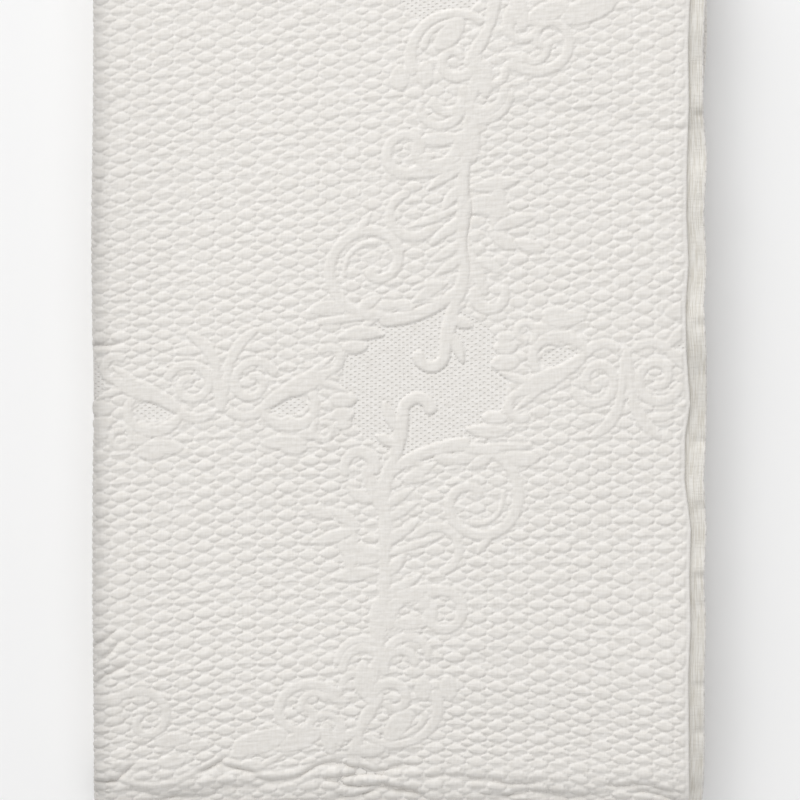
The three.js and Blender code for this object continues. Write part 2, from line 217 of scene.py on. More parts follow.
# where the cloth runs, across one bundle and along the four of them
def acrossPath(edge, counts):  # x, h, outward x and h: top hem, left fold, back, fold, in, left fold, hem
    outer = 1.5 * layerPitch
    inner = 0.5 * layerPitch
    level = [-thick / 2 - layer * layerPitch for layer in range(4)]
    leftCentre = edge["left"] + outer + thick / 2
    rightCentre = edge["fold"] - inner - thick / 2
    points = []

    def run(start, end, h, side, count):
        for share in np.linspace(0, 1, count, endpoint=False):
            points.append((start + (end - start) * share, h, 0.0, side))

    def turn(centre, h, radius, first, sweep, count, inward):
        for angle in np.radians(first + sweep * np.arange(count) / count):
            nx, nh = math.cos(angle), math.sin(angle)
            points.append((centre + radius * nx, h + radius * nh, nx * inward, nh * inward))

    hem = edge["hem"] - thick / 2
    under = edge["under"] - thick / 2
    run(hem, leftCentre, level[0], 1.0, counts["flat"])
    turn(leftCentre, (level[0] + level[3]) / 2, outer, 90, 180, counts["outer"], 1)
    run(leftCentre, rightCentre, level[3], -1.0, counts["flat"])
    turn(rightCentre, (level[2] + level[3]) / 2, inner, -90, 180, counts["inner"], 1)
    run(rightCentre, leftCentre, level[2], 1.0, counts["flat"])
    turn(leftCentre, (level[1] + level[2]) / 2, inner, -90, -180, counts["inner"], -1)
    run(leftCentre, under - counts["stripReach"], level[1], -1.0, counts["flat"])
    run(under - counts["stripReach"], under, level[1], -1.0, counts["strip"])
    points.append((under, level[1], 0.0, -1.0))
    return points


def stations(counts):  # rows of y, z, outward y and z, lean, bundle, next bundle, share of the next
    rows = []

    def flat(bundle, z, look, start, end, count, lean):
        for share in np.linspace(0, 1, count, endpoint=False):
            rows.append((start + (end - start) * share, z, 0, look, lean * (1 - share), bundle, bundle, 0))

    def bend(first, second, y, z, radius, start, sweep, count, inward):
        for k in range(count):
            angle = math.radians(start + sweep * k / count)
            ny, nz = math.cos(angle), math.sin(angle)
            out = (ny * inward, nz * inward)
            rows.append((y + radius * ny, z + radius * nz, *out, 0, first, second, k / count))

    middle = 2 * bundlePitch
    far = bundlePitch - stack["layerGap"] / 2
    flat(0, stackHeight, 1, endAt, noseStart, counts["top"], -stack["endLean"])
    bend(0, 3, noseStart, noseStart, noseStart, 90, 180, counts["nose"], 1)
    flat(3, 0, -1, noseStart, farAt, counts["low"], 0)
    bend(3, 2, farAt, far, far, -90, 180, counts["far"], 1)
    flat(2, middle - stack["layerGap"], 1, farAt, noseStart, counts["low"], 0)
    gap = stack["layerGap"] / 2
    bend(2, 1, noseStart, middle - gap, gap, -90, -180, counts["inner"], -1)
    flat(1, middle, -1, noseStart, stack["length"], counts["low"], 0)
    rows.append((stack["length"], middle, 0, -1, 0, 1, 1, 0))
    return np.array(rows, float)


def edgesAlong(rows):  # the edges at each station; in a fold they pass from one bundle's to the other's
    along = np.where(rows[:, 5] == rows[:, 6], rows[:, 0], np.where(rows[:, 5] == 3, farAt, noseStart))
    tables = [edgesAt(along, bundle) for bundle in range(4)]
    found = {}
    for key in tables[0]:
        values = np.array([table[key] for table in tables])
        index = np.arange(len(rows))
        first = values[rows[:, 5].astype(int), index]
        second = values[rows[:, 6].astype(int), index]
        found[key] = first + (second - first) * rows[:, 7]
    return found


def arcAlong(points):  # distance walked along a line of points
    return np.concatenate([[0], np.cumsum(np.linalg.norm(np.diff(points, axis=0), axis=1))])


def smoothNormals(points):
    across = np.gradient(points, axis=1)
    along = np.gradient(points, axis=0)
    normal = np.cross(across, along)
    return normal / np.maximum(np.linalg.norm(normal, axis=2, keepdims=True), 1e-9)


# the woven ornament: puffed cells all over, and scrolls that branch from a seeded medallion
cells = {
    "across": 15.05,
    "along": 9.65,
    "large": {"half": 0.5, "rise": 0.43, "height": 0.93},
    "small": {"half": 0.34, "rise": 0.28, "height": 0.72},
    "blunt": 0.72,         # below 1 the cells' tips are blunter
    "fullness": 0.52,      # below 1 the cells are plumper
    "towardsFold": 0.2,    # they puff more towards the outer fold, where the cloth is slack
    "towardsFoldReach": 300,
    "wander": (0.9, 0.6),  # the cells stray this far from their lattice, across and along
    "ledge": 0.38,         # some large cells step down along a crease
    "uneven": 0.16,        # no two cells lie quite alike
    "riseShares": (0.86, 1.04),
    "heightShares": (0.8, 1.15),
}
scrolls = {
    "height": 1.1,
    "shoulder": 2.7,
    "crown": 0.7,          # below 1 they are fuller
    "groove": 0.24,        # the stitching pulls the cloth down along each stroke
    "grooveReach": 0.75,
    "swell": 0.5,          # the filling widens each stroke by this much on both sides
    "ribPitch": 4.825,     # faint ribs run across them, two to each row of large cells
    "ribDepth": 0.1,
}

# scrolls: spiral centre x, y, first and last radius, ease, first angle, turn, first and last width
longScrolls = [
    (5, 21, 11, 9, 1, 0, -165, 7, 8), (48, 60, 12, 10, 1, 175, 200, 9, 6),
    (-25, 120, 74, 74, 1, -50, -42, 7, 9), (-36.5, 86, 36.5, 6, 1.25, -82, -400, 7.5, 6),
    (-36.5, 86, 21, 16, 1, -165, -110, 2.5, 4), (8, 63, 8, 5, 1, 150, 160, 4, 4),
    (-9, 122, 19, 14, 1, -48, -205, 7, 5.5), (-13, 165.5, 16.5, 10, 1, -60, -300, 7.5, 6),
    (5, 170, 21, 11, 1, 5, -200, 11, 4), (16, 203, 13, 10, 1, 15, -180, 7, 5.5),
    (10, 198, 17, 14, 1, -15, -160, 7, 5), (43, 204, 14, 15, 1, -125, 130, 8, 6),
    (44, 202, 18.5, 18, 1, -115, 108, 6, 5), (50, 217, 8, 8, 1, -160, 170, 6, 5),
    (23, 228, 15, 5, 1, 0, -320, 8, 5), (20, 232, 31, 29, 1, 50, 145, 5, 8),
    (22, 236, 20, 22, 1, 75, 95, 3, 5), (88.5, 237.5, 31, 4, 0.55, -150, 440, 7, 5),
    (79, 231, 9, 9, 1, -150, 165, 5, 5), (72, 250, 12, 11, 1, -170, 165, 5, 5),
]
# leaves and stems: foot x, y, heading, bend, length, width, 1 for a blunt tip
longLeaves = [
    (15, 17, 84, -8, 42, 9, 1), (21, 54, 62, 28, 40, 10, 1), (28, 82, 90, 0, 45, 9, 1),
    (28.5, 118, 90, 0, 45, 8, 1), (18, 46, -32, 10, 18, 7, 0), (20, 34, -62, -10, 22, 7, 0),
    (30, 90, 215, -8, 26, 7, 0), (30, 100, 212, -8, 30, 7, 0), (30, 116, 210, 8, 30, 6.5, 1),
    (30, 124, 200, -6, 44, 5.5, 0), (30, 112, 208, -10, 26, 5, 0), (30, 140, 222, 14, 24, 8, 0),
    (30, 151, 196, 22, 30, 7, 0), (33, 136, 2, 4, 34, 10, 0), (33, 122, 20, -70, 26, 15, 1),
    (50, 108, 78, 12, 28, 11, 0), (47, 104, 20, -12, 34, 9, 0), (48, 102, -35, -5, 20, 9, 0),
    (66, 95, -28, 12, 20, 9, 0), (36, 84, -8, -40, 22, 8, 0), (33, 88, -75, 12, 28, 9, 1),
    (-46, 56, 25, 0, 13, 8, 1), (-33, 56, 0, 0, 12, 8, 1), (-21, 57, -15, 0, 12, 8, 1),
    (-8, 58, 32, -10, 26, 8, 0), (-8, 67, 18, -20, 24, 5, 0), (-50, 110, 40, 20, 18, 5, 0),
    (-76, 47, 4, 2, 44, 6, 1), (-80, 56, 15, -35, 20, 11, 1), (-62, 35.5, 14, -30, 32, 10, 0),
    (-57, 28, -5, 0, 13, 9, 1), (-6, 147.5, 8, 6, 36, 7, 1), (34, 158, 92, 0, 30, 12, 1),
    (33, 186, 95, 0, 16, 8, 0), (0, 173, -5, 10, 20, 10, 1), (-6, 159, 10, 0, 12, 6, 1),
    (33, 196, 76, -4, 30, 8, 1),
    (44, 203, 88, 8, 21, 11, 1), (47, 252, 246, -14, 30, 8.5, 1), (54, 229, -4, -35, 20, 6, 0),
    (47, 250, 80, -4, 44, 9, 1), (12, 240, 40, 25, 20, 15, 1), (-17.5, 214, 90, 0, 11, 13, 1),
    (1, 214.5, 90, 0, 11, 12, 1), (60, 245, 80, 10, 16, 9, 1), (71, 248, 95, 10, 20, 10, 1),
    (78, 252, 25, -10, 24, 15, 1), (104, 252, 22, -15, 30, 18, 1),
]
# half of the short branch, about its own middle; the other half mirrors it
shortMiddle = -145.5
shortScrolls = [
    (22, 4, 17.5, 5, 1, 25, 425, 6.5, 5), (17, -3, 17, 17, 1, -125, 75, 6, 7),
    (76, 20, 10, 8, 1, -100, 215, 5, 6), (55, -14, 13, 12, 1, 35, -150, 6, 6),
    (73, -31.5, 8.5, 5, 1, 130, 330, 4.5, 4),
]
shortLeaves = [
    (1, -14, 88, -12, 34, 6, 1), (4, 16, 76, -45, 34, 8, 1), (17, 30, 10, -25, 17, 7, 0),
    (30, -14, 42, -32, 30, 9, 1), (40, -5, 18, 8, 42, 14, 0), (66, 4, -8, -22, 26, 5, 0),
    (58, 6, 30, 12, 26, 5, 0), (29, -18, -48, 62, 34, 8, 1), (83, -28.5, 0, 0, 8, 8, 1),
    (81, -10.5, 0, 0, 13, 11, 1), (82, -21.5, 0, 0, 10, 10, 1), (56, -34, 0, 0, 10, 8, 1),
    (31, -40, 8, -16, 26, 11, 1), (44, -44, 0, 0, 13, 9, 1),
]
# the vine that runs off under the outer fold, and its two long ribbons as points from end to end
vineScrolls = [(-200, -233, 41, 6, 0.33, 152, -360, 6.5, 5)]
vineLeaves = [
    (-228, -216, 0, 0, 9, 6, 1), (-228, -223, 0, 0, 9, 6, 1), (-227, -230, 0, 0, 9, 6, 1),
    (-191, -250, 5, -10, 20, 11, 1), (-168, -256, 0, 0, 11, 8, 1), (-190, -266, 0, 0, 15, 10, 1),
    (-137, -265, 10, 0, 9, 9, 1), (-131, -274, 0, 0, 12, 8, 1), (-125, -261, 0, 0, 9, 7, 1),
    (-48, -267, 5, 0, 16, 11, 1), (-70, -259, 10, 20, 26, 8, 1), (-225, -262, -20, 30, 34, 7, 0),
    (-112, -262, -10, 20, 30, 5, 0),
]
vineRibbons = [
    [(-226, -271), (-219, -275), (-208, -281), (-196, -284), (-182, -283), (-170, -278), (-158, -273),
     (-148, -268), (-138, -272), (-127, -277), (-116, -275), (-105, -268)],
    [(-124, -283), (-112, -283), (-100, -283), (-88, -281), (-77, -276), (-66, -271), (-54, -270),
     (-44, -276), (-34, -284)],
]
ribbonWidth = 4.6


def scrollPath(row):
    x, y, first, last, ease, start, turn, wide, narrow = row
    count = max(4, int(math.radians(abs(turn)) * (first + last) / 2 / 3))
    path = []
    for share in np.linspace(0, 1, count + 1):
        radius = first + (last - first) * share ** ease
        angle = math.radians(start + turn * share)
        half = (wide + (narrow - wide) * share) / 2
        path.append((x + radius * math.cos(angle), y + radius * math.sin(angle), half))
    return path


def leafPath(row):
    x, y, aim, bend, length, wide, blunt = row
    count = max(4, int(length / 2.5))
    path = []
    for share in np.linspace(0, 1, count + 1):
        swell = math.sin(math.pi * (0.06 + 0.88 * share))
        path.append((x, y, wide / 2 * swell ** (0.35 if blunt else 0.9)))
        angle = math.radians(aim + bend * (share + 0.5 / count))
        x += length / count * math.cos(angle)
        y += length / count * math.sin(angle)
    return path


def ornamentPaths():
    paths = []
    for path in [scrollPath(row) for row in longScrolls] + [leafPath(row) for row in longLeaves]:
        paths += [path, [(-x, -y, half) for x, y, half in path]]
    for path in [scrollPath(row) for row in shortScrolls] + [leafPath(row) for row in shortLeaves]:
        for side in (1, -1):
            moved = [(shortMiddle + side * x, y, half) for x, y, half in path]
            paths += [moved, [(-x, -y, half) for x, y, half in moved]]
    paths += [scrollPath(row) for row in vineScrolls] + [leafPath(row) for row in vineLeaves]
    paths += [[(x, y, ribbonWidth / 2) for x, y in ribbon] for ribbon in vineRibbons]
    return paths


strokeReach = 14  # no stroke is looked for farther away than this


def distanceToScrolls(u, v):  # millimetres to the nearest stroke, less than 0 inside it
    reach = strokeReach
    near = np.full(u.shape, float(reach))
    for path in ornamentPaths():
        for (x0, y0, half0), (x1, y1, half1) in zip(path[:-1], path[1:]):
            spot = (u > min(x0, x1) - reach) & (u < max(x0, x1) + reach)
            spot &= (v > min(y0, y1) - reach) & (v < max(y0, y1) + reach)
            if not spot.any():
                continue
            dx, dy = x1 - x0, y1 - y0
            dot = (u[spot] - x0) * dx + (v[spot] - y0) * dy
            share = np.clip(dot / (dx * dx + dy * dy + 1e-9), 0, 1)
            away = np.hypot(u[spot] - x0 - share * dx, v[spot] - y0 - share * dy)
            near[spot] = np.minimum(near[spot], away - half0 - (half1 - half0) * share)
    return near


def seedEdge(u, v):  # millimetres inside the finely seeded grounds, less than 0 outside them
    spots = [(x, 0, 60, 55) for x in (0, -290, 290)] + [(12, 285, 30, 30)]
    for side in (1, -1):
        spots += [(side * (shortMiddle + loop), -13 * side, 14, 7) for loop in (48, -48)]
    inside = np.full(u.shape, -float(strokeReach))
    for x, y, a, b in spots:
        inside = np.maximum(inside, (1 - np.hypot((u - x) / a, (v - y) / b)) * min(a, b))
    return inside


def chanceOf(p, q, turn):
    value = np.sin(p * 127.1 + q * 311.7 + turn * 74.7) * 43758.5
    return value - np.floor(value)


def cellRelief(u, v, kind):
    shape = cells[kind]
    shift = 0 if kind == "large" else 0.5
    p = u / cells["across"] + shift
    q = v / cells["along"] + shift
    x = p - np.floor(p) - 0.5
    y = q - np.floor(q) - 0.5
    size, height, split = [chanceOf(np.floor(p), np.floor(q), turn) for turn in (1, 2, 3)]
    wide = np.maximum(1 - (x / shape["half"]) ** 2, 0)
    least, most = cells["riseShares"]
    rise = shape["rise"] * (least + (most - least) * size)
    lens = np.abs(y) / (rise * wide ** cells["blunt"] + 0.004)
    dome = np.maximum(1 - lens ** 2, 0) ** cells["fullness"] * np.minimum(wide * 2.5, 1)
    lowest, highest = cells["heightShares"]
    dome = dome * shape["height"] * (lowest + (highest - lowest) * height)
    if kind == "large":
        creaseAt = 0.2 * (size - 0.65) + 0.05 * np.sin(9 * x)
        ledge = smooth(creaseAt - y, -0.04, 0.06) * smooth(split, 0.45, 0.8) * np.minimum(2 * wide, 1)
        dome = np.maximum(dome - cells["ledge"] * ledge, 0)
    return dome


def strokeGroove(near):
    return np.exp(-((near - scrolls["grooveReach"]) / scrolls["grooveReach"]) ** 2)


def clothRelief(u, v, near, ground, hem):
    near = near - scrolls["swell"]
    puffs = np.maximum(cellRelief(u, v, "large"), cellRelief(u, v, "small"))
    uneven = np.sin(u / 2.3 + 2 * np.sin(v / 9)) * np.sin(v / 1.9 + 2 * np.sin(u / 11))
    puffs = puffs + cells["uneven"] * uneven * smooth(puffs, 0, 0.4)
    puffs = puffs * (1 - cells["towardsFold"] * v / cells["towardsFoldReach"])
    puffs = puffs * smooth(near, -0.8, 0.3) * (1 - smooth(ground, -0.8, 0.8))
    inside = np.clip((0.3 - near) / scrolls["shoulder"], 0, 1)
    rib = smooth(np.cos(2 * math.pi * v / scrolls["ribPitch"]), 0.55, 1) * scrolls["ribDepth"]
    scroll = (1 - (1 - inside) ** 2) ** scrolls["crown"] * (scrolls["height"] - rib)
    pulled = scrolls["groove"] * strokeGroove(near)
    return (np.maximum(puffs, scroll) - pulled) * smooth(hem, -0.5, 0.7)


# meshes
def addMesh(name, points, faces, clothUv, attributes, material, wrongSide=None, normals=None):
    mesh = bpy.data.meshes.new(name)
    mesh.vertices.add(len(points))
    mesh.vertices.foreach_set("co", (points * mm).astype(np.float32).ravel())
    sizes = np.full(len(faces), 4)
    mesh.loops.add(len(faces) * 4)
    mesh.loops.foreach_set("vertex_index", faces.astype(np.int32).ravel())
    mesh.polygons.add(len(faces))
    mesh.polygons.foreach_set("loop_start", (np.cumsum(sizes) - 4).astype(np.int32))
    mesh.update(calc_edges=True)
    mesh.validate()
    layer = mesh.uv_layers.new(name="clothMillimetres")
    layer.uv.foreach_set("vector", clothUv[faces.ravel()].astype(np.float32).ravel())
    for key, values in attributes.items():
        attribute = mesh.attributes.new(key, "FLOAT", "POINT")
        attribute.data.foreach_set("value", values.astype(np.float32).ravel())
    for item in material if isinstance(material, list) else [material]:
        mesh.materials.append(item)
    if wrongSide is not None:
        mesh.polygons.foreach_set("material_index", wrongSide.astype(np.int32))
    mesh.shade_smooth()
    if normals is not None:
        mesh.normals_split_custom_set_from_vertices(normals.tolist())
    piece = bpy.data.objects.new(name, mesh)
    bpy.context.collection.objects.link(piece)
    return piece


def gridFaces(rows, columns, closed=False):
    index = np.arange(rows * columns).reshape(rows, columns)
    beside = np.roll(index, -1, axis=1) if closed else index[:, 1:]
    here = index if closed else index[:, :-1]
    return np.stack([here[:-1], beside[:-1], beside[1:], here[1:]], axis=-1).reshape(-1, 4)


# materials
def toLinear(hexColour):
    parts = [int(hexColour[i:i + 2], 16) / 255 for i in (1, 3, 5)]
    return tuple(c / 12.92 if c <= 0.04045 else ((c + 0.055) / 1.055) ** 2.4 for c in parts) + (1.0,)


def addNode(tree, kind, settings=None, links=None):
    node = tree.nodes.new(kind)
    for key, value in (settings or {}).items():
        setattr(node, key, value)
    for key, value in (links or {}).items():
        if isinstance(value, bpy.types.Node):
            value = value.outputs[0]
        if isinstance(value, bpy.types.NodeSocket):
            tree.links.new(value, node.inputs[key])
        else:
            node.inputs[key].default_value = value
    return node


cotton = {
    "thread": "#f1eeea",
    "dull": "#e4e0da",     # where threads dip out of the light
    "roughness": 0.9,
    "warpPitch": 1.3,      # real threads are 0.4 mm apart, drawn coarser so that they show
    "weftPitch": 1.5,
    "threadHeight": 0.07,
    "seedAcross": 5.8,
    "seedAlong": 3.83,
    "seedDepth": 0.32,
    "crumple": 0.4,        # soft dents between the threads' own
    "crumpleScale": 0.22,
}


def puffedCotton():  # bleached cotton double cloth: matt, soft, each cell puffed from stitched-down threads
    material = bpy.data.materials.new("bleachedPuffedCotton")
    material.use_nodes = True
    tree = material.node_tree
    tree.nodes.clear()
    maths = "ShaderNodeMath"
    vectors = "ShaderNodeVectorMath"
    ranges = "ShaderNodeMapRange"
    soft = {"interpolation_type": "SMOOTHSTEP"}
    uv = addNode(tree, "ShaderNodeUVMap", {"uv_map": "clothMillimetres"})
    drawn = addNode(tree, "ShaderNodeAttribute", {"attribute_name": "drawnCells"}).outputs["Fac"]
    crest = addNode(tree, "ShaderNodeAttribute", {"attribute_name": "crest"}).outputs["Fac"]
    seedEdgeAt = addNode(tree, "ShaderNodeAttribute", {"attribute_name": "seedEdge"}).outputs["Fac"]
    seeded = addNode(tree, ranges, soft, {"Value": seedEdgeAt, "From Min": -0.5, "From Max": 0.5})
    pitch = (cells["across"], cells["along"], 1)
    lattice = addNode(tree, vectors, {"operation": "DIVIDE"}, {0: uv, 1: pitch})
    domes = []
    for kind, shift in (("large", 0.0), ("small", 0.5)):
        shape = cells[kind]
        moved = addNode(tree, vectors, {"operation": "ADD"}, {0: lattice, 1: (shift, shift, 0)})
        inside = addNode(tree, vectors, {"operation": "FRACTION"}, {0: moved})
        middle = addNode(tree, vectors, {"operation": "SUBTRACT"}, {0: inside, 1: (0.5, 0.5, 0)})
        number = addNode(tree, vectors, {"operation": "FLOOR"}, {0: moved})
        chance = addNode(tree, "ShaderNodeTexWhiteNoise", {"noise_dimensions": "2D"}, {"Vector": number})
        chances = addNode(tree, "ShaderNodeSeparateColor", {}, {0: chance.outputs["Color"]})
        split = addNode(tree, "ShaderNodeSeparateXYZ", {}, {0: middle})
        across = addNode(tree, maths, {"operation": "MULTIPLY"}, {0: split.outputs[0], 1: split.outputs[0]})
        narrowing = -1 / shape["half"] ** 2
        wide = addNode(tree, maths, {"operation": "MULTIPLY_ADD"}, {0: across, 1: narrowing, 2: 1.0})
        wide = addNode(tree, maths, {"operation": "MAXIMUM"}, {0: wide, 1: 0.0})
        tips = addNode(tree, maths, {"operation": "MULTIPLY", "use_clamp": True}, {0: wide, 1: 3.0})
        wide = addNode(tree, maths, {"operation": "POWER"}, {0: wide, 1: cells["blunt"]})
        least, most = [share * shape["rise"] for share in cells["riseShares"]]
        full = addNode(tree, ranges, {}, {"Value": chances.outputs[0], "To Min": least, "To Max": most})
        rise = addNode(tree, maths, {"operation": "MULTIPLY_ADD"}, {0: wide, 1: full.outputs[0], 2: 0.004})
        height = addNode(tree, maths, {"operation": "ABSOLUTE"}, {0: split.outputs[1]})
        lens = addNode(tree, maths, {"operation": "DIVIDE"}, {0: height, 1: rise})
        dome = addNode(tree, maths, {"operation": "MULTIPLY"}, {0: lens, 1: lens})
        dome = addNode(tree, maths, {"operation": "SUBTRACT", "use_clamp": True}, {0: 1.0, 1: dome})
        dome = addNode(tree, maths, {"operation": "POWER"}, {0: dome, 1: cells["fullness"]})
        dome = addNode(tree, maths, {"operation": "MULTIPLY"}, {0: dome, 1: tips})
        lowest, highest = [share * shape["height"] for share in cells["heightShares"]]
        power = addNode(tree, ranges, {}, {"Value": chances.outputs[1], "To Min": lowest, "To Max": highest})
        dome = addNode(tree, maths, {"operation": "MULTIPLY"}, {0: dome, 1: power})
        domes.append(dome)
    puff = addNode(tree, maths, {"operation": "MAXIMUM"}, {0: domes[0], 1: domes[1]})
    raised = addNode(tree, maths, {"operation": "MULTIPLY"}, {0: puff, 1: drawn})

    # seeds: small dents in offset rows
    turns = (2 * math.pi / cotton["seedAcross"], 2 * math.pi / cotton["seedAlong"], 0)
    seedWave = addNode(tree, vectors, {"operation": "MULTIPLY"}, {0: uv, 1: turns})
    seedWave = addNode(tree, vectors, {"operation": "COSINE"}, {0: seedWave})
    split = addNode(tree, "ShaderNodeSeparateXYZ", {}, {0: seedWave})
    seed = addNode(tree, maths, {"operation": "MULTIPLY"}, {0: split.outputs[0], 1: split.outputs[1]})
    seed = addNode(tree, ranges, soft, {"Value": seed, "From Min": 0.35, "From Max": 0.95})
    seed = addNode(tree, maths, {"operation": "MULTIPLY"}, {0: seed, 1: seeded})

    # threads with slubs, down the cloth and, bolder, across it
    threads = []
    for stretch in ((1 / cotton["warpPitch"], 0.09, 1), (0.09, 1 / cotton["weftPitch"], 1)):
        run = addNode(tree, vectors, {"operation": "MULTIPLY"}, {0: uv, 1: stretch})
        threads.append(addNode(tree, "ShaderNodeTexNoise", {"noise_dimensions": "2D"},
                               {"Vector": run, "Scale": 1.0, "Detail": 3.0}))
    weave = addNode(tree, maths, {"operation": "MULTIPLY_ADD"}, {0: threads[1], 1: 1.5, 2: threads[0]})

    crumple = addNode(tree, "ShaderNodeTexNoise", {"noise_dimensions": "2D"},
                      {"Vector": uv, "Scale": cotton["crumpleScale"], "Detail": 1.5})
    crumple = addNode(tree, maths, {"operation": "MULTIPLY"}, {0: crumple, 1: cotton["crumple"]})
    raised = addNode(tree, maths, {"operation": "ADD"}, {0: raised, 1: crumple})
    madd = {"operation": "MULTIPLY_ADD"}
    height = addNode(tree, maths, madd, {0: seed, 1: -cotton["seedDepth"], 2: raised})
    height = addNode(tree, maths, madd, {0: weave, 1: cotton["threadHeight"], 2: height})
    bump = addNode(tree, "ShaderNodeBump", {}, {"Strength": 1.0, "Distance": mm, "Height": height})

    lit = addNode(tree, ranges, {}, {"Value": weave, "From Min": 0.55, "From Max": 1.85, "To Max": 1.25})
    # raised cloth is painted duller, leaving a painted highlight on the low lines between cells
    lit = addNode(tree, maths, {"operation": "MULTIPLY_ADD"}, {0: crest, 1: -0.5, 2: lit})
    # the seed dents are painted darker: painted shade in them
    shade = addNode(tree, maths, {"operation": "SUBTRACT", "use_clamp": True}, {0: lit, 1: seed})
    mix = addNode(tree, "ShaderNodeMix", {"data_type": "RGBA"},
                  {0: shade, 6: toLinear(cotton["dull"]), 7: toLinear(cotton["thread"])})
    # painted shade from the mesh: darker at the left fold, in creases, along stroke grooves and where the
    # hem strip sinks
    paintedShade = addNode(tree, "ShaderNodeAttribute", {"attribute_name": "paintedShade"}).outputs["Fac"]
    toned = addNode(tree, vectors, {"operation": "SCALE"}, {0: mix.outputs[2], "Scale": paintedShade})
    body = addNode(tree, "ShaderNodeBsdfPrincipled", {}, {
        "Base Color": toned, "Roughness": cotton["roughness"], "Sheen Weight": 0.25,
        "Sheen Roughness": 0.5, "Specular IOR Level": 0.25, "Normal": bump,
    })
    addNode(tree, "ShaderNodeOutputMaterial", {}, {"Surface": body})
    return material


looseBack = {
    "thread": "#f3f0ea",
    "dull": "#e0dbd1",
    "across": 0.8,      # thickness of the thread lines that run along the hem, and of those across it
    "along": 1.6,
}


def wrongSideCotton():  # the loose back of the double cloth: flat, warmer, with thick soft slubs
    material = bpy.data.materials.new("looseCottonBack")
    material.use_nodes = True
    tree = material.node_tree
    tree.nodes.clear()
    uv = addNode(tree, "ShaderNodeUVMap", {"uv_map": "clothMillimetres"})
    threads = []
    for stretch in ((1 / looseBack["across"], 0.06, 1), (0.08, 1 / looseBack["along"], 1)):
        run = addNode(tree, "ShaderNodeVectorMath", {"operation": "MULTIPLY"}, {0: uv, 1: stretch})
        threads.append(addNode(tree, "ShaderNodeTexNoise", {"noise_dimensions": "2D"},
                               {"Vector": run, "Scale": 1.0, "Detail": 3.0}))
    weave = addNode(tree, "ShaderNodeMath", {"operation": "ADD"}, {0: threads[0], 1: threads[1]})
    bump = addNode(tree, "ShaderNodeBump", {}, {"Strength": 0.4, "Distance": mm, "Height": weave})
    shade = addNode(tree, "ShaderNodeMapRange", {}, {"Value": threads[0], "From Min": 0.35, "From Max": 0.6})
    mix = addNode(tree, "ShaderNodeMix", {"data_type": "RGBA"},
                  {0: shade, 6: toLinear(looseBack["dull"]), 7: toLinear(looseBack["thread"])})
    # painted shadow from the mesh, where the hem strip sinks under the hem above
    paintedShade = addNode(tree, "ShaderNodeAttribute", {"attribute_name": "paintedShade"}).outputs["Fac"]
    toned = addNode(tree, "ShaderNodeVectorMath", {"operation": "SCALE"}, {0: mix.outputs[2], "Scale": paintedShade})
    body = addNode(tree, "ShaderNodeBsdfPrincipled", {}, {
        "Base Color": toned, "Roughness": 0.95, "Sheen Weight": 0.3,
        "Specular IOR Level": 0.2, "Normal": bump,
    })
    addNode(tree, "ShaderNodeOutputMaterial", {}, {"Surface": body})
    return material


faceCotton = puffedCotton()
backCotton = wrongSideCotton()
print("materials made")

# the whole coverlet: one closed sheet, swept along all its folds
body = {
    "across": {"flat": 6, "outer": 10, "inner": 6, "strip": 9, "stripReach": 26},
    "along": {"top": 320, "nose": 26, "low": 50, "far": 10, "inner": 6},
    "roundEdge": 6,
    "stripAcross": (200, 206),  # the hem strip starts between these
    "endThin": (0.45, 0.85),  # the two ends close in, so that no raw edge is square
    "endStep": 0.8,
    "sunk": 0.7,              # where the ornamented face lies over it
}


def sweptCloth():
    rows = stations(body["along"])
    edge = edgesAlong(rows)
    path = acrossPath(edge, body["across"])
    count = len(rows)
    x = np.stack([p[0] + np.zeros(count) for p in path], axis=1)
    h = np.array([p[1] for p in path])[None, :] + np.zeros((count, 1))
    nx = np.array([p[2] for p in path])[None, :]
    nh = np.array([p[3] for p in path])[None, :]
    half = np.full((count, 1), thick / 2)
    for step, thin in enumerate(body["endThin"]):
        half[step] *= thin
        half[-1 - step] *= thin
    rows[1, 0] = rows[0, 0] - body["endStep"]
    rows[-2, 0] = rows[-1, 0] - body["endStep"]
    walked = np.zeros(len(path))
    for i in range(1, len(path)):
        walked[i] = walked[i - 1] + math.hypot(np.mean(x[:, i] - x[:, i - 1]), h[0, i] - h[0, i - 1])

    def ends(column, sign):  # the rounded hem at one end of the path
        angles = np.radians(np.linspace(90, -90, body["roundEdge"] + 2)[1:-1])
        side = nh[0, column] * sign
        return [(x[:, column] + half[:, 0] * math.cos(a), h[:, column] + half[:, 0] * math.sin(a) * side,
                 walked[column]) for a in angles]

    outline = []
    for i in range(len(path)):
        outline.append((x[:, i] + nx[0, i] * half[:, 0], h[:, i] + nh[0, i] * half[:, 0], walked[i], 0))
    outline += [(*p, 0) for p in ends(len(path) - 1, 1)]
    for i in reversed(range(len(path))):
        outline.append((x[:, i] - nx[0, i] * half[:, 0], h[:, i] - nh[0, i] * half[:, 0], walked[i], 1))
    outline += [(*p, 0) for p in ends(0, -1)]
    xs = np.stack([o[0] for o in outline], axis=1)
    hs = np.stack([o[1] for o in outline], axis=1)
    y = rows[:, 0:1] + (rows[:, 2:3] + rows[:, 4:5]) * hs
    z = rows[:, 1:2] + rows[:, 3:4] * hs
    points = np.stack(sag(*settle(xs, y, z), sunk=body["sunk"]), axis=-1)

    u = edge["hem"].mean() - np.array([o[2] for o in outline]) - stack["medallionAcross"]
    middle = np.stack(settle(0 * rows[:, 0], rows[:, 0], rows[:, 1]), axis=1)
    v = endAt - arcAlong(middle) - stack["medallionAlong"]
    uv = np.stack(np.broadcast_arrays(u[None, :], v[:, None]), axis=-1)
    back = np.array([o[3] for o in outline])
    return points, uv, back, len(path)


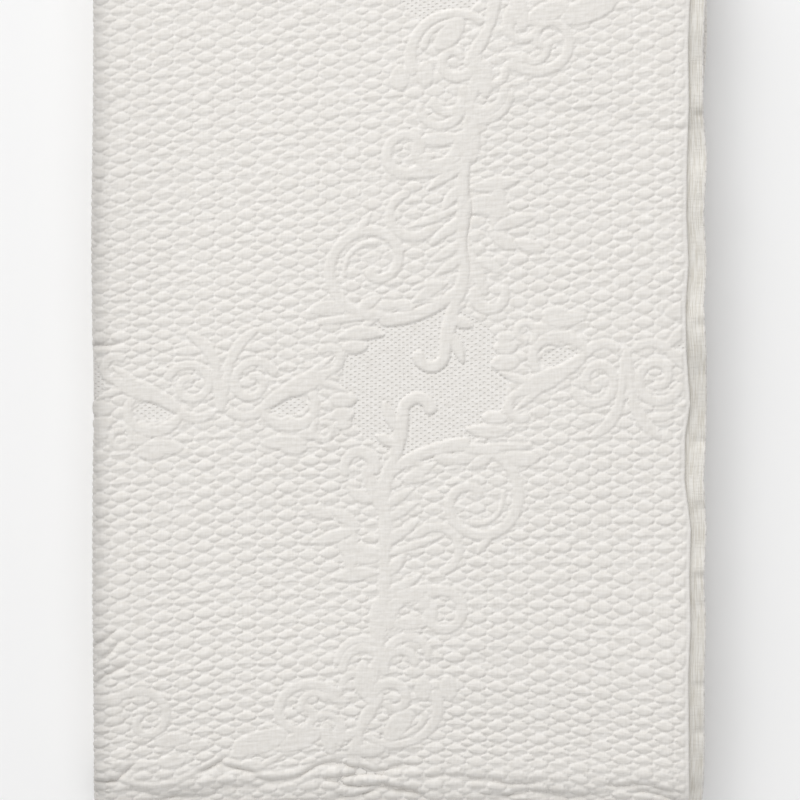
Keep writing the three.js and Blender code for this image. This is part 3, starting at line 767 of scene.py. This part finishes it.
def paintedStripShadow(points):  # the loose back is painted darker where it sinks: a painted shadow of the hem above
    across = smooth(points[:, 0], *body["stripAcross"])
    strip = across * smooth(points[:, 2], 0.6 * stackHeight, 0.8 * stackHeight)
    return 1 - slack["stripShadow"] * strip * (1 - readStrip(points[:, 1] - stack["photoAlong"])) / 2


def coverletPiece():
    points, uv, back, count = sweptCloth()
    rows, columns = points.shape[:2]
    faces = gridFaces(rows, columns, closed=True)
    wrong = np.tile(((back + np.roll(back, -1)) == 2).astype(int), rows - 1)
    # an end is closed by a strip of faces between the cloth's two sides
    rounding = body["roundEdge"]
    firstSide = list(range(count))
    secondSide = [count + rounding + (count - 1 - i) for i in range(count)]
    tip = [count + i for i in range(rounding)]
    root = [2 * count + rounding + i for i in range(rounding)]
    caps = []
    for base, flip in ((0, True), ((rows - 1) * columns, False)):
        pairs = list(zip(firstSide, secondSide))
        strip = [[a, c, d, b] for (a, b), (c, d) in zip(pairs[:-1], pairs[1:])]
        ladder = [firstSide[-1]] + tip + [secondSide[-1]]
        other = [secondSide[0]] + root + [firstSide[0]]
        for line in (ladder, other):
            low, high = 0, len(line) - 1
            while high - low >= 3:
                strip.append([line[low], line[low + 1], line[high - 1], line[high]])
                low, high = low + 1, high - 1
        strip = np.array(strip) + base
        caps.append(strip[:, ::-1] if flip else strip)
    faces = np.concatenate([faces, *caps])
    wrong = np.concatenate([wrong, np.zeros(sum(len(c) for c in caps), int)])
    flatPoints = points.reshape(-1, 3)
    total = len(flatPoints)
    # the hem strip's painted shadow goes with the mesh
    attributes = {"drawnCells": np.ones(total), "crest": np.zeros(total),
                  "seedEdge": np.full(total, -float(strokeReach)), "paintedShade": paintedStripShadow(flatPoints)}
    piece = addMesh("coverlet_cloth", flatPoints, faces, uv.reshape(-1, 2), attributes,
                    [faceCotton, backCotton], wrong)
    return piece, flatPoints


# the ornamented face of the top layer, from under the hem to the left fold and down the outer fold
face = {
    "flatColumns": 410,
    "turnColumns": 14,
    "flatRows": 780,
    "noseRows": 112,
    "wrap": 5,
    "bands": 5,         # of rows, so that no piece is too heavy
    "lift": 0.45,       # the face cloth's ground lies this much over the cloth under it
    "hemBand": 3.0,     # plain along the hem
    "foldShade": 0.27,   # painted shade: the fold at the left is painted darker than the top, as it turns from the light
    "foldShadeReach": 22,
    # painted shade in the creases of the top, darker the deeper they are, up to a set depth
    "creaseShade": 0.045,
    "creaseShadeDeepest": 3,
    "sideShade": 0.03,   # and painted shade on the top beside it, far less
    "sideShadeReach": 95,
    "crestTop": 0.6,    # raised cloth is painted a little duller, and no more so above this height: the low lines between cells keep a painted highlight
    # painted shade along the groove beside each stroke
    "grooveShade": 0.022,
    "hemTuck": (-0.6, 0.5),    # how the first two rows of each edge lie against the cloth under it
    "foldTuck": (-0.6, 0.4),
    "reliefFrom": (0.2, 7),    # down the outer fold the relief dies out between these heights
    "crowdFrom": -190,         # from here on the rows crowd towards the outer fold
    "crowdReach": 110,
    "crowdRate": 0.0006,
}


def wrapAngles():
    return np.radians(np.linspace(-90, 90, face["wrap"], endpoint=False))


def topFace():
    radius = thick / 2
    turns = wrapAngles()
    counts = {"top": face["flatRows"], "nose": face["noseRows"], "low": 2, "far": 2, "inner": 2}
    table = stations(counts)[:face["flatRows"] + face["noseRows"] + 1]
    table[:face["flatRows"], 0] = np.linspace(endAt - radius, noseStart, face["flatRows"], endpoint=False)
    wrap = np.repeat(table[:1], len(turns), axis=0)
    rows = np.concatenate([wrap, table])
    inward = np.concatenate([radius * (1 - np.sin(turns)), np.zeros(len(table))])
    outward = np.concatenate([radius * np.cos(turns), np.zeros(len(table))])
    edge = edgesAlong(rows)
    count = len(rows)

    hem = edge["hem"] - radius
    roll = stack["layersAcross"] * layerPitch / 2 - stack["layerGap"] / 2
    leftCentre = edge["left"] + roll
    columns = []
    for angle in turns:
        columns.append((hem + radius * math.cos(angle), -radius + radius * math.sin(angle),
                        math.cos(angle), math.sin(angle), hem + radius * (math.pi / 2 - angle)))
    for share in np.linspace(0, 1, face["flatColumns"], endpoint=False):
        x = hem + (leftCentre - hem) * share
        columns.append((x, 0.0, 0.0, 1.0, x))
    for angle in np.radians(np.linspace(90, 270, face["turnColumns"])):
        columns.append((leftCentre + roll * math.cos(angle), -roll + roll * math.sin(angle),
                        math.cos(angle), math.sin(angle), leftCentre - roll * (angle - math.pi / 2)))
    x = np.stack([c[0] + np.zeros(count) for c in columns], axis=1)
    h = np.array([c[1] for c in columns])[None, :]
    nx = np.array([c[2] for c in columns])[None, :]
    nh = np.array([c[3] for c in columns])[None, :]
    a = np.stack([c[4] + np.zeros(count) for c in columns], axis=1)
    x = x - nx * inward[:, None]
    h = h - nh * inward[:, None]
    y = rows[:, 0:1] + (rows[:, 2:3] + rows[:, 4:5]) * h + outward[:, None]
    z = rows[:, 1:2] + rows[:, 3:4] * h
    points = np.stack(sag(*settle(x, y, z)), axis=-1)

    along = np.stack(settle(0 * rows[:, 0], rows[:, 0], rows[:, 1]), axis=1)
    along[:, 1] += outward
    b = endAt - arcAlong(along)
    u = a - stack["medallionAcross"]
    fromPhoto = (b - stack["photoAlong"])[:, None]
    slope = readRows(skewRows, fromPhoto, 1)
    bow = readRows(skewRows, fromPhoto, 2)
    crowd = np.maximum(0, face["crowdFrom"] - fromPhoto)
    v = fromPhoto - (stack["medallionAlong"] - stack["photoAlong"]) - slope * a + bow * a * a
    v = v - face["crowdRate"] * np.minimum(crowd, face["crowdReach"]) ** 2
    strayAcross, strayAlong = cells["wander"]
    u = u + strayAcross * np.sin(v / 17 + u / 43) * np.sin(u / 29 + 1.1)
    v = v + strayAlong * np.sin(u / 13 + v / 31) * np.sin(v / 23 + 0.6)
    fromHem = hem[:, None] + radius - x
    fromEnd = (endAt - b)[:, None] + 0 * x
    hemEdge = np.minimum(np.minimum(fromHem, fromEnd), 30) - face["hemBand"]
    return points, np.stack([u, v], axis=-1), distanceToScrolls(u, v), seedEdge(u, v), hemEdge


def facePieces():
    points, uv, near, ground, hem = topFace()
    rows, columns = points.shape[:2]
    relief = clothRelief(uv[..., 0], uv[..., 1], near, ground, hem)
    seeded = np.minimum(ground, near - scrolls["swell"])
    tuck = np.ones((rows, columns))
    tuck[:, 0], tuck[:, 1] = face["hemTuck"]
    tuck[:, -1], tuck[:, -2] = face["foldTuck"]
    tuck[0, :], tuck[1, :] = face["hemTuck"]
    low = smooth(points[..., 2], *face["reliefFrom"])
    lift = face["lift"] * tuck * low + relief * np.clip(tuck, 0, 1) * low
    fromLeft = points[..., 0] + stack["width"] / 2
    # painted shade: the left fold, and far less the top beside it, are painted darker
    paintedShade = 1 - face["foldShade"] * (1 - smooth(fromLeft, 0, face["foldShadeReach"])) ** 1.5
    paintedShade = paintedShade - face["sideShade"] * (1 - smooth(fromLeft, 0, face["sideShadeReach"]))
    deep = np.maximum(creases(points[..., 0], points[..., 1] - stack["photoAlong"]), 0)
    # painted shade in the creases
    paintedShade = paintedShade - face["creaseShade"] * np.minimum(deep, face["creaseShadeDeepest"])
    # painted shade in the stroke grooves
    paintedShade = paintedShade - face["grooveShade"] * strokeGroove(near - scrolls["swell"])
    points = points + smoothNormals(points) * lift[..., None]
    points[..., 2] = np.maximum(points[..., 2], 0.05)
    normals = smoothNormals(points)
    pieces = []
    starts = np.linspace(0, rows - 1, face["bands"] + 1).astype(int)
    for number, (start, end) in enumerate(zip(starts[:-1], starts[1:] + 1)):
        raised, seedInside, toned = [values[start:end].reshape(-1) for values in (relief, seeded, paintedShade)]
        attributes = {"drawnCells": np.zeros(len(raised)), "crest": np.minimum(raised, face["crestTop"]),
                      "seedEdge": seedInside, "paintedShade": toned}
        piece = addMesh(f"coverlet_face_{number + 1}", points[start:end].reshape(-1, 3),
                        gridFaces(end - start, columns), uv[start:end].reshape(-1, 2), attributes,
                        faceCotton, normals=normals[start:end].reshape(-1, 3))
        length = arcAlong(points[start:end, columns // 2])[-1]
        pieces.append((piece, length))
    return pieces


clothPiece, clothPoints = coverletPiece()
facePieceList = facePieces()
cadLow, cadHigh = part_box("coverlet")
low, high = clothPoints.min(0) * mm, clothPoints.max(0) * mm
shift = [(cadLow[i] + cadHigh[i]) / 2 - (low[i] + high[i]) / 2 for i in (0, 1)]
for piece in [clothPiece] + [piece for piece, _ in facePieceList]:
    piece.data.transform(Matrix.Translation((*shift, 0)))
    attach(piece, "root")
    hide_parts("coverlet")
    print(piece.name, len(piece.data.polygons) * 2, "triangles")
print("coverlet made, shifted by", shift)

# floor, light and camera
room = {
    "viewWidth": 0.576,
    "cameraUp": 2.0,
    "topSinks": 2,      # the stack's middle lies this much under its full height
    "floor": "#f8f8f8",
    "light": 0.478,
}
bpy.ops.object.select_all(action="DESELECT")
bpy.ops.mesh.primitive_plane_add(size=8)
floor = bpy.context.object
floor.name = "floor"
floor.location = (0, 0, 0)
paper = bpy.data.materials.new("paleStudioPaper")
paper.use_nodes = True
paperBody = paper.node_tree.nodes["Principled BSDF"]
paperBody.inputs["Base Color"].default_value = toLinear(room["floor"])
paperBody.inputs["Roughness"].default_value = 0.95
floor.data.materials.append(paper)

centreAlong = shift[1] + stack["photoAlong"] * mm
topAt = (stackHeight - room["topSinks"]) * mm
cameraData = bpy.data.cameras.new("camera")
camera = bpy.data.objects.new("camera", cameraData)
bpy.context.collection.objects.link(camera)
cameraData.sensor_width = 36
cameraData.lens = 36 * (room["cameraUp"] - topAt) / room["viewWidth"]
camera.location = (shift[0], centreAlong, room["cameraUp"])
bpy.context.scene.camera = camera


def addSoftLight(name, place, size, power):
    data = bpy.data.lights.new(name, "AREA")
    data.shape = "SQUARE"
    data.size = size
    data.energy = power
    light = bpy.data.objects.new(name, data)
    light.location = place
    x, y, z = np.array([0, centreAlong, 0]) - np.array(place)
    light.rotation_euler = (math.atan2(math.hypot(x, y), -z), 0, math.atan2(x, -y) + math.pi)
    bpy.context.collection.objects.link(light)


addSoftLight("key", (-2.5, 5.1, 3.75), 4.2, 286)
addSoftLight("fill", (0.8, -0.1, 4.4), 4.0, 45)
world = bpy.data.worlds.new("studio")
bpy.context.scene.world = world
world.use_nodes = True
world.node_tree.nodes["Background"].inputs["Color"].default_value = (1, 1, 1, 1)
world.node_tree.nodes["Background"].inputs["Strength"].default_value = room["light"]
bpy.context.scene.view_settings.view_transform = "Standard"
print("light and camera set")
